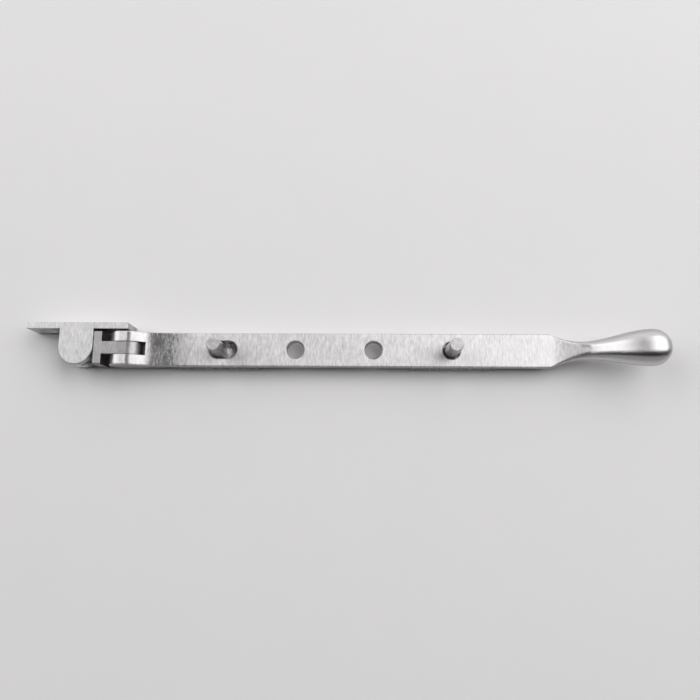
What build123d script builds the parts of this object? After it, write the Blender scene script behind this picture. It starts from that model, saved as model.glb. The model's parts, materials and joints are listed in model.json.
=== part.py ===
from build123d import *
import math
import os

# Bulb end casement window stay with its two pegs on plates. Millimetres, Z up.
# The stay lies flat, as it would on a bench. X runs along the bar from the bracket to the bulb,
# Y points to the bracket's plate, and the origin is under the peg nearer the bulb.

# Flat bar of the stay arm
bar_width = 16.0
bar_thick = 5.0
bar_bottom = 3.5
bar_edge_r = 0.5
hole_dia = 8.2
hole_pitch = 37.0
hole_count = 3
slot_stretch = 5.2
hole_chamfer = 0.4

# Fork at the bracket end of the arm
pivot_x = -154.2
pivot_z = 7.2
fork_r = 6.2
fork_stretch = 3.2
fork_slot_width = 6.3
fork_slot_end = pivot_x + 9.6
ramp_end_x = -126.0
ramp_slope = 3.5
ramp_top_r = 200.0
ramp_root_r = 14.0

# Bulb handle at the other end
shoulder_x = 46.5
neck_x = 62.0
neck_width = 8.7
neck_thick = 6.6
rise_start_x = 48.0
rise_end_x = 95.0
bulb_width = 17.2
bulb_thick = 13.5
bulb_x = 90.0
handle_rise = 13.0
dome_length = 8.6
dome_angles = (15, 30, 45, 58, 70, 80, 86)
shoulder_power = 1.7
section_step = 3.2
neck_round_length = 18.0
round_share = 0.495

# Bracket
swivel_x = -176.5
plate_length = 48.0
plate_front_y = 9.0
plate_thick = 3.0
bracket_height = 13.0
lug_r = 8.0
lug_thick = 3.0
bracket_edge_r = 0.4
screw_pitch = 32.0
screw_hole_dia = 4.5
screw_sink_dia = 8.0

# Knuckle between bracket and arm
joint_gap = 0.2
knuckle_barrel_r = 5.5
t_bar_near_x = swivel_x + 8.5
t_bar_thick = 3.6
t_bar_half_width = 7.9
t_bar_bottom = 0.6
tongue_width = 5.9
tongue_r = 5.8

# Rivets
pin_r = 2.5
running_gap = 0.05
swivel_pin_top = 11.5
swivel_pin_bottom = 0.1

# Pegs and their plates
slotted_peg_x = -110.0
peg_dia = 7.2
peg_tip_dia = 6.2
peg_top = 23.5
peg_chamfer = 0.4
peg_tenon_r = 2.5
collar_dia = 10.0
collar_thick = 0.8
peg_plate_length = 40.0
peg_plate_width = 17.0
peg_plate_thick = 2.5
peg_plate_corner_r = 1.5
peg_plate_edge = 0.3
peg_screw_pitch = 28.0
peg_screw_dia = 4.2
peg_sink_dia = 7.8

bar_top = bar_bottom + bar_thick
bar_mid = bar_bottom + bar_thick / 2


def block(x0, x1, y0, y1, z0, z1):
    """Box between two corners."""
    corner = Align.MIN, Align.MIN, Align.MIN
    return Pos(x0, y0, z0) * Box(x1 - x0, y1 - y0, z1 - z0, align=corner)


def rod(radius, x, y, z0, z1):
    """Upright cylinder."""
    return Pos(x, y, (z0 + z1) / 2) * Cylinder(radius, z1 - z0)


def cross_rod(radius, x, z, half_length):
    """Cylinder along Y, centred on the arm."""
    return Pos(x, 0, z) * Rot(90, 0, 0) * Cylinder(radius, 2 * half_length)


def sunk_screw_hole(hole_dia_mm, sink_dia_mm, depth):
    """Cutter for a 90 degree countersunk hole: mouth at Z 0, running down to -depth."""
    sink_depth = (sink_dia_mm - hole_dia_mm) / 2
    shank = rod(hole_dia_mm / 2, 0, 0, -depth - 1, 1)
    cone = Pos(0, 0, -sink_depth / 2) * Cone(hole_dia_mm / 2, sink_dia_mm / 2, sink_depth)
    return shank + cone


def through_cutter(outline):
    """Cutter through the bar for a hole outline, with both mouths chamfered."""
    shaft = Pos(0, 0, bar_bottom - 1) * extrude(outline, bar_thick + 2)
    top = Pos(0, 0, bar_top - hole_chamfer) * extrude(outline, 2 * hole_chamfer, taper=-45)
    low = Pos(0, 0, bar_bottom + hole_chamfer) * extrude(outline, -2 * hole_chamfer, taper=-45)
    return shaft + top + low


# ---------------------------------------------------------------- stay arm
def round_corner(outline, point, radius):
    """Round the corner of an outline that lies nearest a point."""
    corner = outline.vertices().sort_by_distance(Vector(*point))[0]
    return fillet(corner, radius)


def arm_side_outline():
    """Side view of the bar, its ramp and the long round boss of the fork."""
    hub = Vector(pivot_x + fork_stretch / 2, pivot_z)
    foot = Vector(ramp_end_x, bar_bottom)
    slope = math.tan(math.radians(ramp_slope))
    reach = foot - hub
    low_angle = math.atan2(reach.Y, reach.X) - math.acos(fork_r / reach.length)
    low = hub + Vector(math.cos(low_angle), math.sin(low_angle)) * fork_r
    ramp_top = (hub.X, bar_top + (ramp_end_x - hub.X) * slope)
    bar = Polyline((shoulder_x, bar_bottom), (shoulder_x, bar_top), (ramp_end_x, bar_top),
                   ramp_top, hub, low, foot, close=True)
    boss = Pos(pivot_x, pivot_z) * SlotCenterToCenter(fork_stretch, 2 * fork_r)
    outline = make_face(bar) + boss
    outline = round_corner(outline, (ramp_end_x, bar_top), ramp_top_r)
    root_x = hub.X + fork_r
    return round_corner(outline, (root_x, bar_top + (ramp_end_x - root_x) * slope), ramp_root_r)


def handle_height(x):
    """Height of the handle's centre line above the bar's middle."""
    u = min(1.0, max(0.0, (x - rise_start_x) / (rise_end_x - rise_start_x)))
    return handle_rise * (3 * u ** 2 - 2 * u ** 3)


def handle_plane(x):
    """Plane square to the handle's centre line."""
    step = 0.1
    climb = handle_height(x + step) - handle_height(x - step)
    return Plane((x, 0, bar_mid + handle_height(x)), x_dir=(0, 1, 0), z_dir=(2 * step, 0, climb))


def handle_section(x):
    """Cross-section of the handle."""
    if x < neck_x:
        left = (neck_x - x) / (neck_x - shoulder_x)
        width = neck_width + (bar_width - neck_width) * left ** shoulder_power
        thick = neck_thick + (bar_thick - neck_thick) * left ** 2 * (3 - 2 * left)
    else:
        swell = math.sin(math.pi / 2 * (x - neck_x) / (bulb_x - neck_x)) ** 2
        width = neck_width + (bulb_width - neck_width) * swell
        thick = neck_thick + (bulb_thick - neck_thick) * swell
    roundness = min(1.0, (x - shoulder_x) / neck_round_length)
    corner = bar_edge_r + (round_share * thick - bar_edge_r) * roundness
    return handle_plane(x) * RectangleRounded(width, thick, corner)


def dome_section(angle):
    """Slice of the bulb's round end at a latitude in degrees."""
    shrink = math.cos(math.radians(angle))
    height = dome_length * math.sin(math.radians(angle))
    outline = RectangleRounded(bulb_width * shrink, bulb_thick * shrink, round_share * bulb_thick * shrink)
    return handle_plane(bulb_x).offset(height) * outline


def make_handle():
    """Shoulders, neck and bulb."""
    count = round((bulb_x - shoulder_x) / section_step)
    stations = [shoulder_x + (bulb_x - shoulder_x) * i / count for i in range(count + 1)]
    return loft([handle_section(x) for x in stations] + [dome_section(a) for a in dome_angles])


def make_stay_arm():
    """Forged arm in one piece: fork, bar and bulb handle."""
    half = bar_width / 2
    blank = extrude(Plane.XZ * arm_side_outline(), half, both=True)
    rims = [e for e in blank.edges()
            if abs(abs(e.center().Y) - half) < 0.01 and e.center().X < shoulder_x - 0.1]
    arm = fillet(rims, bar_edge_r) + make_handle()
    arm -= block(pivot_x - 2 * fork_r, fork_slot_end, -fork_slot_width / 2, fork_slot_width / 2, -1, 20)
    arm -= cross_rod(pin_r, pivot_x, pivot_z, bar_width)
    for i in range(hole_count):
        arm -= through_cutter(Pos(-hole_pitch * i, 0) * Circle(hole_dia / 2))
    slot_x = -hole_pitch * hole_count + slot_stretch / 2
    arm -= through_cutter(Pos(slot_x, 0) * SlotCenterToCenter(slot_stretch, hole_dia))
    return arm


# ---------------------------------------------------------------- bracket
def make_bracket():
    """Fixing plate with two D shaped lugs, one casting."""
    half = plate_length / 2
    back_y = plate_front_y + plate_thick
    body = block(swivel_x - half, swivel_x + half, plate_front_y, back_y, 0, bracket_height)
    for z0 in (0, bracket_height - lug_thick):
        z1 = z0 + lug_thick
        body += block(swivel_x - lug_r, swivel_x + lug_r, 0, back_y, z0, z1)
        body += rod(lug_r, swivel_x, 0, z0, z1)
    rims = [e for e in body.edges() if e.center().Y < plate_front_y - 0.1
            and abs(e.tangent_at(0.5).Z) < 0.01
            and min(abs(e.center().Z), abs(e.center().Z - bracket_height)) < 0.01]
    ends = [e for e in body.edges() if abs(abs(e.center().X - swivel_x) - half) < 0.01]
    body = fillet(rims + ends, bracket_edge_r)
    body -= rod(pin_r, swivel_x, 0, -1, swivel_pin_top)
    for side in (-1, 1):
        place = Pos(swivel_x + side * screw_pitch / 2, plate_front_y, bracket_height / 2)
        body -= place * Rot(90, 0, 0) * sunk_screw_hole(screw_hole_dia, screw_sink_dia, plate_thick)
    return body


# ---------------------------------------------------------------- knuckle
def make_knuckle():
    """Swivel block: barrel between the lugs, T bar, and tongue for the fork."""
    barrel_low = lug_thick + joint_gap
    barrel_high = bracket_height - lug_thick - joint_gap
    t_bar_far_x = t_bar_near_x + t_bar_thick
    half = tongue_width / 2
    t_bar = block(t_bar_near_x, t_bar_far_x, -t_bar_half_width, t_bar_half_width,
                  t_bar_bottom, bracket_height)
    t_bar = fillet(t_bar.edges().filter_by(Axis.X), bar_edge_r)
    body = rod(knuckle_barrel_r, swivel_x, 0, barrel_low, barrel_high)
    body += block(swivel_x, t_bar_far_x, -knuckle_barrel_r, knuckle_barrel_r, barrel_low, barrel_high)
    body += t_bar
    tongue_end_x = pivot_x + fork_stretch / 2
    body += block(t_bar_near_x, tongue_end_x, -half, half, pivot_z - tongue_r, pivot_z + tongue_r)
    body += cross_rod(tongue_r, tongue_end_x, pivot_z, half)
    body -= rod(pin_r + running_gap, swivel_x, 0, -1, 20)
    body -= cross_rod(pin_r + running_gap, pivot_x, pivot_z, bar_width)
    return body


# ---------------------------------------------------------------- pegs
def make_peg(x):
    """Turned peg: tapered shaft with a chamfered tip, collar, and tenon riveted in the plate."""
    collar_top = peg_plate_thick + collar_thick
    middle = Pos(x, 0, (collar_top + peg_top) / 2)
    shaft = middle * Cone(peg_dia / 2, peg_tip_dia / 2, peg_top - collar_top)
    shaft = chamfer(shaft.edges().group_by(Axis.Z)[-1], peg_chamfer)
    return shaft + rod(collar_dia / 2, x, 0, peg_plate_thick, collar_top) + rod(peg_tenon_r, x, 0, 0, collar_top)


def make_peg_plate(x):
    """Plate under a peg, with two countersunk screw holes."""
    outline = RectangleRounded(peg_plate_length, peg_plate_width, peg_plate_corner_r)
    plate = extrude(outline, peg_plate_thick)
    plate = chamfer(plate.edges().group_by(Axis.Z)[-1], peg_plate_edge)
    plate -= rod(peg_tenon_r, 0, 0, -1, peg_plate_thick + 1)
    for side in (-1, 1):
        place = Pos(side * peg_screw_pitch / 2, 0, peg_plate_thick)
        plate -= place * sunk_screw_hole(peg_screw_dia, peg_sink_dia, peg_plate_thick)
    return Pos(x, 0, 0) * plate


parts = {
    "stay_arm": make_stay_arm(),
    "fork_pin": cross_rod(pin_r, pivot_x, pivot_z, bar_width / 2),
    "knuckle": make_knuckle(),
    "swivel_pin": rod(pin_r, swivel_x, 0, swivel_pin_bottom, swivel_pin_top),
    "bracket": make_bracket(),
    "slotted_peg": make_peg(slotted_peg_x),
    "slotted_peg_plate": make_peg_plate(slotted_peg_x),
    "handle_peg": make_peg(0),
    "handle_peg_plate": make_peg_plate(0),
}

os.makedirs("parts", exist_ok=True)
for name, solid in parts.items():
    export_step(solid, f"parts/{name}.step")
    print(name, len(solid.solids()), round(solid.volume, 1))
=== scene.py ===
import json
import math

import bpy
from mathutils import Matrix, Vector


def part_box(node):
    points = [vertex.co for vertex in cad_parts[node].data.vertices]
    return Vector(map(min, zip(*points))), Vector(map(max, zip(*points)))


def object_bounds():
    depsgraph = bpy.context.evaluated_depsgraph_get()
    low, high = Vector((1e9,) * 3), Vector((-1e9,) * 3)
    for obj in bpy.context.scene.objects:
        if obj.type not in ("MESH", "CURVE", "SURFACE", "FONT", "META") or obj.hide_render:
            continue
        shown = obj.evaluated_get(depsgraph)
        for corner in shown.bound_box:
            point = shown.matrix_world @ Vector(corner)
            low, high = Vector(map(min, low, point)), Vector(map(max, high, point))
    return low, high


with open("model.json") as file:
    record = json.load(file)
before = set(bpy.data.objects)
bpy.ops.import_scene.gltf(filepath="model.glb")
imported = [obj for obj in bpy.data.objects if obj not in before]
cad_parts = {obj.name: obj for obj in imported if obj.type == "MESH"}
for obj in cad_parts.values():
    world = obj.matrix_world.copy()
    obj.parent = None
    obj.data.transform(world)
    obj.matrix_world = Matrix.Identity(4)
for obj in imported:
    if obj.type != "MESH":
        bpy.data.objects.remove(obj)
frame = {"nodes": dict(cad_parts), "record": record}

cad_low, cad_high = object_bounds()


# ---------------------------------------------------------------- node helpers
def new_material(name):
    material = bpy.data.materials.new(name)
    material.use_nodes = True
    tree = material.node_tree
    tree.nodes.clear()
    output = tree.nodes.new("ShaderNodeOutputMaterial")
    shader = tree.nodes.new("ShaderNodeBsdfPrincipled")
    tree.links.new(shader.outputs["BSDF"], output.inputs["Surface"])
    return material, tree, shader


def math_node(tree, operation, first, second=None, clamp=False):
    """Math on sockets or plain numbers; gives the result's socket."""
    node = tree.nodes.new("ShaderNodeMath")
    node.operation = operation
    node.use_clamp = clamp
    for index, value in enumerate((first, second)):
        if value is None:
            continue
        if isinstance(value, (int, float)):
            node.inputs[index].default_value = value
        else:
            tree.links.new(value, node.inputs[index])
    return node.outputs[0]


def stretched_noise(tree, scale, detail=3.0, roughness=0.6, distortion=0.0):
    """Noise in object space, with its own scale along each axis."""
    coordinates = tree.nodes.new("ShaderNodeTexCoord")
    mapping = tree.nodes.new("ShaderNodeMapping")
    mapping.inputs["Scale"].default_value = scale
    noise = tree.nodes.new("ShaderNodeTexNoise")
    noise.inputs["Scale"].default_value = 1.0
    noise.inputs["Detail"].default_value = detail
    noise.inputs["Roughness"].default_value = roughness
    noise.inputs["Distortion"].default_value = distortion
    tree.links.new(coordinates.outputs["Object"], mapping.inputs["Vector"])
    tree.links.new(mapping.outputs["Vector"], noise.inputs["Vector"])
    return noise.outputs["Fac"]


def remap(tree, value, low, high, to_low, to_high):
    node = tree.nodes.new("ShaderNodeMapRange")
    node.inputs["From Min"].default_value = low
    node.inputs["From Max"].default_value = high
    node.inputs["To Min"].default_value = to_low
    node.inputs["To Max"].default_value = to_high
    tree.links.new(value, node.inputs["Value"])
    return node.outputs["Result"]


def edge_mask(tree, radius):
    """1 on edges and corners, 0 on open faces."""
    bevel = tree.nodes.new("ShaderNodeBevel")
    bevel.samples = 6
    bevel.inputs["Radius"].default_value = radius
    geometry = tree.nodes.new("ShaderNodeNewGeometry")
    dot = tree.nodes.new("ShaderNodeVectorMath")
    dot.operation = "DOT_PRODUCT"
    tree.links.new(bevel.outputs["Normal"], dot.inputs[0])
    tree.links.new(geometry.outputs["Normal"], dot.inputs[1])
    return remap(tree, dot.outputs["Value"], 0.995, 0.85, 0.0, 1.0)


def position(tree, axis):
    """Place along one axis of the frame in metres, as a socket."""
    coordinates = tree.nodes.new("ShaderNodeTexCoord")
    parts = tree.nodes.new("ShaderNodeSeparateXYZ")
    tree.links.new(coordinates.outputs["Object"], parts.inputs["Vector"])
    return parts.outputs[axis]


def satin_metal(name, grain_scale, tint, rough, grain_rough, grain_bump, edge_radius,
                anisotropy=0.0, zones=(), polish=None):
    """Satin metal: fine grain, cloudy sheen, and edges lightened in colour as a painted highlight and
    rubbed smoother.

    Each zone is (axis, place where it starts, place where it is full, change of roughness).
    Polish is (axis, place where it starts, place where it is full): there the grain fades away.
    """
    material, tree, shader = new_material(name)
    grain = stretched_noise(tree, grain_scale, detail=4.0, roughness=0.65)
    if polish:
        axis, start, full = polish
        kept = remap(tree, position(tree, axis), start, full, 1.0, 0.2)
        swing = math_node(tree, "SUBTRACT", grain, 0.5)
        grain = math_node(tree, "ADD", math_node(tree, "MULTIPLY", swing, kept), 0.5)
    cloud = stretched_noise(tree, (90.0, 90.0, 90.0), detail=2.0)
    # Edge mask: lightens the colour at edges as a painted highlight, and lowers their roughness as
    # rubbing.
    edge_highlight_and_rub = edge_mask(tree, edge_radius)

    colour = tree.nodes.new("ShaderNodeMix")
    colour.data_type = "RGBA"
    colour.inputs["A"].default_value = (*[c * 0.70 for c in tint], 1.0)
    colour.inputs["B"].default_value = (*[min(1.0, c * 1.32) for c in tint], 1.0)
    shade = remap(tree, grain, 0.30, 0.70, 0.0, 0.8)
    shade = math_node(tree, "ADD", shade, math_node(tree, "MULTIPLY", cloud, 0.2))
    # Painted highlight: edges lighter in colour.
    shade = math_node(tree, "ADD", shade, math_node(tree, "MULTIPLY", edge_highlight_and_rub, 0.4), clamp=True)
    tree.links.new(shade, colour.inputs["Factor"])
    tree.links.new(colour.outputs["Result"], shader.inputs["Base Color"])

    roughness = remap(tree, grain, 0.25, 0.75, rough - grain_rough, rough + grain_rough)
    roughness = math_node(tree, "ADD", roughness, remap(tree, cloud, 0.3, 0.7, -0.02, 0.02))
    for axis, start, full, change in zones:
        mask = remap(tree, position(tree, axis), start, full, 0.0, change)
        roughness = math_node(tree, "ADD", roughness, mask)
    rubbed_smooth = math_node(tree, "MULTIPLY", edge_highlight_and_rub, 0.06)
    roughness = math_node(tree, "SUBTRACT", roughness, rubbed_smooth, clamp=True)
    tree.links.new(roughness, shader.inputs["Roughness"])

    rounded = tree.nodes.new("ShaderNodeBevel")
    rounded.samples = 6
    rounded.inputs["Radius"].default_value = edge_radius
    bump = tree.nodes.new("ShaderNodeBump")
    bump.inputs["Strength"].default_value = grain_bump
    bump.inputs["Distance"].default_value = 0.00005
    tree.links.new(grain, bump.inputs["Height"])
    tree.links.new(rounded.outputs["Normal"], bump.inputs["Normal"])
    tree.links.new(bump.outputs["Normal"], shader.inputs["Normal"])
    shader.inputs["Metallic"].default_value = 1.0
    if anisotropy:
        tangent = tree.nodes.new("ShaderNodeTangent")
        tangent.direction_type = "RADIAL"
        tangent.axis = "X"
        tree.links.new(tangent.outputs["Tangent"], shader.inputs["Tangent"])
        shader.inputs["Anisotropic"].default_value = anisotropy
        shader.inputs["Anisotropic Rotation"].default_value = 0.25
    return material


# ---------------------------------------------------------------- materials
# Grain scales are per metre along X, Y and Z: the smallest number is the way the grain runs.
CHROME = (0.545, 0.533, 0.540)
BRACKET_CHROME = (0.480, 0.472, 0.476)
# Darker tint, used for the knuckle and for the plates; on the plates it is painted shade.
KNUCKLE_CHROME = (0.310, 0.302, 0.306)
across_bar = (1300.0, 320.0, 900.0)
along_z = (1800.0, 1800.0, 120.0)
turned = (500.0, 500.0, 4000.0)
ramp_and_handle = (
    ("X", -0.118, -0.134, -0.22),
    ("X", -0.141, -0.147, 0.18),
    ("X", 0.050, 0.066, -0.12),
)
handle_polish = ("X", 0.052, 0.066)
tip_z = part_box("slotted_peg")[1].z
peg_tip = (("Z", tip_z - 0.0003, tip_z - 0.0001, 0.25),)

looks = {
    "bar_metal": satin_metal("satin_bar", across_bar, CHROME, 0.46, 0.06, 0.5, 0.00025,
                             anisotropy=0.6, zones=ramp_and_handle, polish=handle_polish),
    "bracket_metal": satin_metal("satin_bracket", across_bar, BRACKET_CHROME, 0.46, 0.05, 0.35, 0.00025,
                                 anisotropy=0.6),
    "knuckle_metal": satin_metal("satin_knuckle", across_bar, KNUCKLE_CHROME, 0.34, 0.05, 0.30, 0.00025,
                                 anisotropy=0.5),
    "peg_metal": satin_metal("satin_peg", turned, CHROME, 0.30, 0.05, 0.25, 0.00020, zones=peg_tip),
    # Painted shade: the plates take the dark knuckle tint because they lie in shadow under the bar.
    "plate_metal": satin_metal("satin_plate", across_bar, KNUCKLE_CHROME, 0.26, 0.05, 0.35, 0.00025),
    "pin_metal": satin_metal("satin_pin", along_z, CHROME, 0.30, 0.04, 0.20, 0.00015),
}
node_slots = {s["node"]: s["material_slot"] for s in frame["record"]["subparts"]}
for node_name, cad_node in frame["nodes"].items():
    slot_name = node_slots[node_name]
    cad_node.data.materials.clear()
    cad_node.data.materials.append(looks[slot_name])

# ---------------------------------------------------------------- table
table_material, table_tree, table_shader = new_material("pale_table")
mottle = stretched_noise(table_tree, (25.0, 25.0, 25.0), detail=4.0)
table_colour = table_tree.nodes.new("ShaderNodeMix")
table_colour.data_type = "RGBA"
table_colour.inputs["A"].default_value = (0.785, 0.772, 0.778, 1.0)
table_colour.inputs["B"].default_value = (0.805, 0.792, 0.798, 1.0)
table_tree.links.new(mottle, table_colour.inputs["Factor"])
table_tree.links.new(table_colour.outputs["Result"], table_shader.inputs["Base Color"])
table_shader.inputs["Roughness"].default_value = 0.75
table_shader.inputs["Specular IOR Level"].default_value = 0.2
bpy.ops.mesh.primitive_plane_add(size=2.4, location=(0.0, 0.0, cad_low.z))
table = bpy.context.object
table.name = "table_top"
table.data.materials.append(table_material)


# ---------------------------------------------------------------- light
BOX_HEIGHT = 1.6
WALL_DISTANCE = 3.0
middle_x = (cad_low.x + cad_high.x) / 2


def panel(name, location, size, radiance, tilt=0.0):
    """Evenly bright rectangle of light, facing down unless tilted about X; gives its object."""
    light = bpy.data.lights.new(name, "AREA")
    light.shape = "RECTANGLE"
    light.size, light.size_y = size
    light.energy = radiance * math.pi * light.size * light.size_y
    lamp = bpy.data.objects.new(name, light)
    lamp.location = location
    lamp.rotation_euler = (math.radians(tilt), 0.0, 0.0)
    bpy.context.scene.collection.objects.link(lamp)
    return lamp


def ceiling_box(name, x_angles, y_angles, radiance):
    """Level softbox that fills these angles from the vertical, seen from the object."""
    x0, x1 = (BOX_HEIGHT * math.tan(math.radians(angle)) for angle in x_angles)
    y0, y1 = (BOX_HEIGHT * math.tan(math.radians(angle)) for angle in y_angles)
    panel(name, (middle_x + (x0 + x1) / 2, (y0 + y1) / 2, BOX_HEIGHT), (x1 - x0, y1 - y0), radiance)


ceiling_box("left_box", (-70, -26), (-5, 48), 2.7)
ceiling_box("right_box", (6, 70), (-5, 48), 2.7)
wall_height = WALL_DISTANCE / math.tan(math.radians(48))
wall_size = (12.0, wall_height)
panel("back_wall", (middle_x, WALL_DISTANCE, wall_height / 2), wall_size, 1.1, tilt=-90)
# The front wall only shows in the metal, so the shadow in front of the bar stays dark.
front_wall = panel("front_wall", (middle_x, -WALL_DISTANCE, wall_height / 2), wall_size, 0.40, tilt=90)
front_wall.visible_diffuse = False

# The backdrop is only seen by the camera, so the metal reflects the lights alone.
world = bpy.data.worlds.new("studio")
bpy.context.scene.world = world
world.use_nodes = True
world.node_tree.nodes["Background"].inputs["Color"].default_value = (0.78, 0.77, 0.775, 1.0)
world.node_tree.nodes["Background"].inputs["Strength"].default_value = 1.0
world.cycles_visibility.diffuse = False
world.cycles_visibility.glossy = False
bpy.context.scene.view_settings.view_transform = "Standard"

# ---------------------------------------------------------------- camera
camera_data = bpy.data.cameras.new("camera")
camera_data.sensor_width = 36.0
camera_data.lens = 32.54
camera = bpy.data.objects.new("camera", camera_data)
camera.location = (-0.04768, -0.05358, 0.30320)
camera.rotation_mode = "ZYX"
camera.rotation_euler = (math.radians(10.312), math.radians(0.092), math.radians(0.246))
bpy.context.scene.collection.objects.link(camera)
bpy.context.scene.camera = camera
